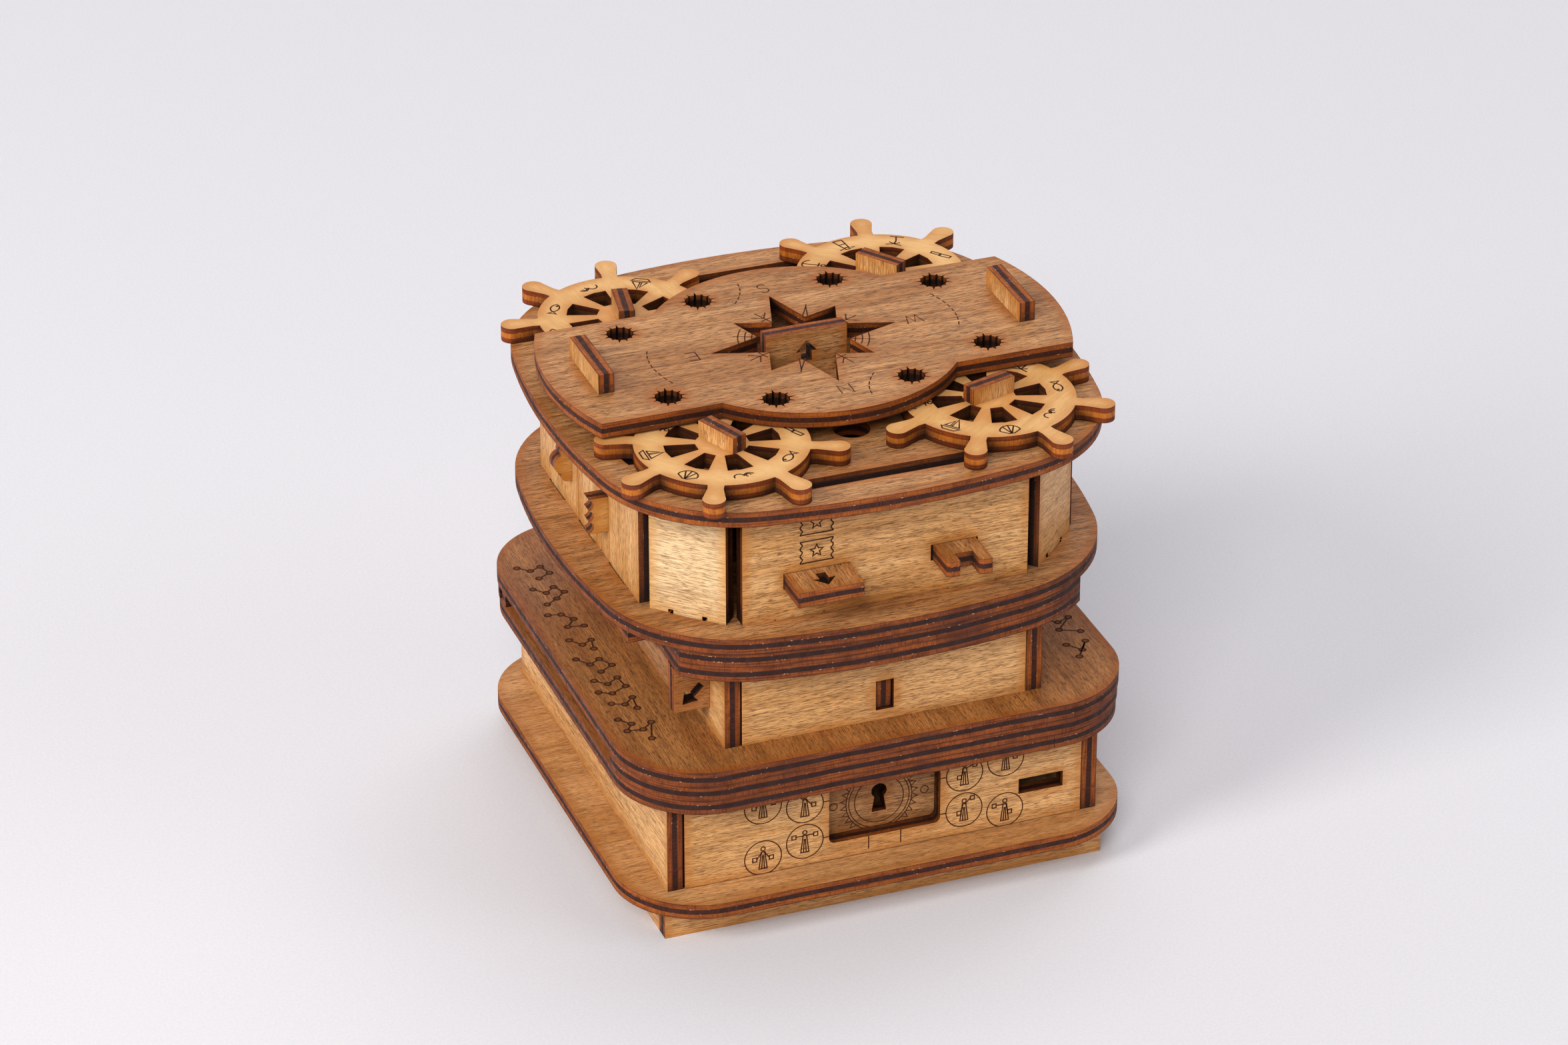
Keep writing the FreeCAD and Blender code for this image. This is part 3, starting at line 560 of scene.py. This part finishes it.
# --- deck: ringed dots joined like stars on a chart --------------------------------
deck = Plane((0, 0, DECK_TOP), X, Y)
RING, DOT = 0.78, 0.34
LINK_GAP = 0.95
clusters = [
    [(-60.0, 45.5), (-57.2, 43.0), (-54.2, 44.2), (-53.0, 40.4), (-56.4, 38.6)],
    [(-59.6, 33.8), (-57.0, 31.0), (-54.4, 33.2), (-52.6, 30.0), (-55.4, 27.4), (-58.6, 25.4)],
    [(-60.2, 20.2), (-57.0, 19.4), (-54.8, 16.2), (-57.4, 13.0), (-53.4, 12.2)],
    [(-59.2, 6.6), (-56.8, 3.4), (-54.0, 5.0), (-54.8, 0.6)],
    [(-60.6, -2.8), (-58.2, -6.4), (-55.2, -4.6), (-53.2, -8.4), (-56.8, -10.6)],
    [(-59.8, -14.2), (-57.2, -16.8), (-54.0, -14.6), (-53.4, -19.2), (-57.6, -21.4),
     (-60.6, -19.8)],
    [(-59.4, -26.0), (-56.4, -27.4), (-53.6, -24.8), (-54.2, -30.0)],
    [(-60.4, -33.6), (-58.0, -36.6), (-60.0, -39.4), (-56.2, -40.0), (-53.2, -37.4),
     (-55.6, -44.6)],
    [(54.4, -25.0), (57.2, -27.4), (60.6, -26.0), (56.0, -31.0), (60.8, -33.4)],
    [(54.8, -38.4), (57.6, -42.0), (60.0, -38.2), (55.6, -44.8)],
    [(54.4, 12.0), (57.0, 15.4), (60.2, 13.6), (58.6, 19.8), (55.0, 22.0)],
    [(55.2, 32.0), (58.4, 34.2), (55.6, 38.0), (59.6, 41.0)],
]
rings, dots = [], []
for stars in clusters:
    rings += [circle(x, y, RING, 16) for x, y in stars]
    dots += [circle(x, y, DOT, 10) for x, y in stars]
    for p, q in zip(map(Vector, stars), map(Vector, stars[1:])):
        step = (q - p).normalized() * LINK_GAP
        rings.append(line(tuple(p + step), tuple(q - step)))
engrave("deck_star_dots", "case", deck, dots, 0.55, SINGED)
engrave("deck_star_chart", "case", deck, rings, 0.50, SCORCH)


# --- drawer front and keyhole plate --------------------------------------------------
front = Plane((0, DRAWER_FACE, 0), X, Z)
SIGN_RADIUS = 4.75
SIGN_X = 20.8               # middles of the inner signs
PLATE_SIDE = 14.5           # where the keyhole window ends


def signaller(left, right):
    """Plain figure in a long coat holding a square flag out at each angle."""
    strokes = [circle(0, 2.2, 0.55, 12)]
    strokes.append(loop((-0.45, 1.35), (0.45, 1.35), (1.05, -3.4), (-1.05, -3.4)))
    for x in (-0.36, 0.36):
        strokes.append(line((0.4 * x, 0.4), (x, -3.4)))
    for side, angle in ((-1, left), (1, right)):
        reach, rise = polar(2.3, angle)
        hand = (side * reach, 1.1 + rise)
        strokes.append(line((side * 0.3, 1.25), hand))
        flag = [(0, -0.6), (1.05, -0.6), (1.05, 0.5), (0, 0.5)]
        strokes.append(loop(*[(hand[0] + side * x, hand[1] + y) for x, y in flag]))
    return strokes


# middle of each sign: angles of the left and the right arm
signs = {(-31.6, 17.0): (-45, -45), (-SIGN_X, 19.3): (5, 5), (-31.6, 31.5): (-40, -20),
         (-SIGN_X, 29.5): (40, -40), (SIGN_X, 19.3): (-70, 45), (31.6, 17.0): (5, -70),
         (SIGN_X, 29.5): (-70, 20), (31.6, 31.5): (40, -30)}
marks, figures = [], []
for (x, z), arms in signs.items():
    marks.append(circle(x, z, SIGN_RADIUS, 48))
    figures += moved(signaller(*arms), x, z + 0.35)
for z in (19.3, 29.5):
    for side in (-1, 1):
        marks.append(line((side * PLATE_SIDE, z), (side * (SIGN_X - SIGN_RADIUS), z)))
for side in (-1, 1):
    marks.append(line((side * 4.2, 17.2), (side * 4.2, 13.6)))
engrave("drawer_signs", "drawer", front, marks, 0.34)
engrave("drawer_figures", "drawer", front, figures, 0.36)

plate = Plane((0, KEYHOLE_FACE, 0), X, Z)
DIAL_Z = 24.6
TEETH, TOOTH_FOOT, TOOTH_TIP = 30, 8.6, 10.1
dial = [circle(0, DIAL_Z, 6.4, 48), circle(0, DIAL_Z, 7.9, 56), circle(0, DIAL_Z, TOOTH_FOOT, 56),
        circle(-11.9, 24.8, 1.0, 20), circle(11.9, 24.8, 1.0, 20)]
for k in range(TEETH):
    tooth = [polar(radius, 360 * (k + part) / TEETH, 0, DIAL_Z)
             for part, radius in ((0.08, TOOTH_FOOT), (0.5, TOOTH_TIP), (0.92, TOOTH_FOOT))]
    heights = [z for _, z in tooth]
    if min(heights) > 16.8 and max(heights) < 34.8:     # only what the window leaves free
        dial.append(line(*tooth))
engrave("keyhole_dial", "drawer", plate, dial, 0.28)


# --- stamps on the upper front wall -------------------------------------------------
wall = Plane((0, WALL_FACE, 0), X, Z)
STAMP_W, STAMP_H = 8.4, 5.8
BITE = 0.585                # depth of the three bites in a stamp's short side
STEPS = 24


def stamp(x, z):
    """Ticket frame with bitten short sides and a plain star inside."""
    w, h = STAMP_W / 2, STAMP_H / 2
    strokes = [line((-w, h), (w, h)), line((-w, -h), (w, -h))]
    for side in (-1, 1):
        strokes.append(line(*[(side * (w - BITE * math.sin(3 * math.pi * k / STEPS) ** 2),
                               -h + STAMP_H * k / STEPS) for k in range(STEPS + 1)]))
    strokes.append(loop(*[polar(0.75 if k % 2 else 1.7, 90 + 36 * k) for k in range(10)]))
    return moved(strokes, x, z)


engrave("front_stamps", "case", wall, stamp(-17.7, 99.2) + stamp(-17.7, 106.8), 0.38, SCORCH)


# --- floor, light, camera -----------------------------------------------------------
def backdrop():
    """Table top that sweeps up behind the object (metres)."""
    profile = [(-1.6, 0.0), (0.9, 0.0)]
    profile += [(0.9 + 0.5 * math.sin(a), 0.5 - 0.5 * math.cos(a))
                for a in (math.radians(9 * k) for k in range(1, 11))]
    profile.append((1.4, 2.4))
    verts, faces = [], []
    for y, z in profile:
        verts += [(-2.6, y, z), (2.6, y, z)]
    for k in range(len(profile) - 1):
        faces.append((2 * k, 2 * k + 1, 2 * k + 3, 2 * k + 2))
    mesh = bpy.data.meshes.new("backdrop")
    mesh.from_pydata(verts, [], faces)
    for polygon in mesh.polygons:
        polygon.use_smooth = True
    t = Tree("backdrop_paper")
    weave = t.noise(t.position, 1400.0, 3.0, 0.6)
    t.put(t.shader.inputs["Base Color"], t.mix(t.span(weave, 0.3, 0.7), rgba(0.605, 0.600, 0.632),
                                               rgba(0.645, 0.640, 0.672)))
    t.shader.inputs["Roughness"].default_value = 0.9
    t.put(t.shader.inputs["Normal"], t.bump(weave, 0.3, 0.1 * MM))
    mesh.materials.append(t.material)
    add("backdrop", mesh)


def area_light(name, place, target, size, power, colour):
    light = bpy.data.lights.new(name, "AREA")
    light.shape = "RECTANGLE"
    light.size, light.size_y = size
    light.energy = power
    light.color = colour
    lamp = add(name, light)
    lamp.location = place
    direction = Vector(target) - Vector(place)
    lamp.rotation_euler = direction.to_track_quat("-Z", "Y").to_euler()


backdrop()
area_light("key", (-1.35, -2.25, 2.10), (0, 0, 0.06), (1.3, 1.3), 62.0, (1.0, 0.97, 0.93))
area_light("left_sheen", (-1.70, -0.52, 1.20), (0, 0, 0.08), (0.6, 1.0), 29.0, (1.0, 0.97, 0.92))
area_light("fill", (2.2, -1.6, 1.5), (0, 0, 0.05), (1.6, 1.6), 16.0, (1.0, 0.98, 0.98))
area_light("top", (0.9, 1.2, 2.6), (0.3, 0.4, 0.0), (2.0, 2.0), 40.0, (1.0, 0.99, 1.0))

world = bpy.data.worlds.new("studio")
world.use_nodes = True
sky = world.node_tree.nodes["Background"].inputs
sky["Color"].default_value = (0.80, 0.80, 0.86, 1.0)
sky["Strength"].default_value = 0.33
bpy.context.scene.world = world

AZIMUTH, ELEVATION = 20.53, 28.98
DISTANCE, LENS, SENSOR = 1.4295, 132.1, 36.0
TARGET = Vector((0, 0, 0.055))
SHIFT_LEFT, SHIFT_UP = 4.75 * MM, 16.95 * MM


def place_camera():
    a, e = math.radians(AZIMUTH), math.radians(ELEVATION)
    forward = Vector((math.sin(a) * math.cos(e), math.cos(a) * math.cos(e), -math.sin(e)))
    right = forward.cross(Vector(Z)).normalized()
    up = right.cross(forward)
    camera = add("camera", bpy.data.cameras.new("camera"))
    camera.data.lens = LENS
    camera.data.sensor_width = SENSOR
    camera.data.clip_end = 20.0
    camera.location = TARGET - forward * DISTANCE - right * SHIFT_LEFT + up * SHIFT_UP
    camera.rotation_euler = forward.to_track_quat("-Z", "Y").to_euler()
    bpy.context.scene.camera = camera


place_camera()
view = bpy.context.scene.view_settings
view.view_transform = "Standard"
view.exposure = 0.0
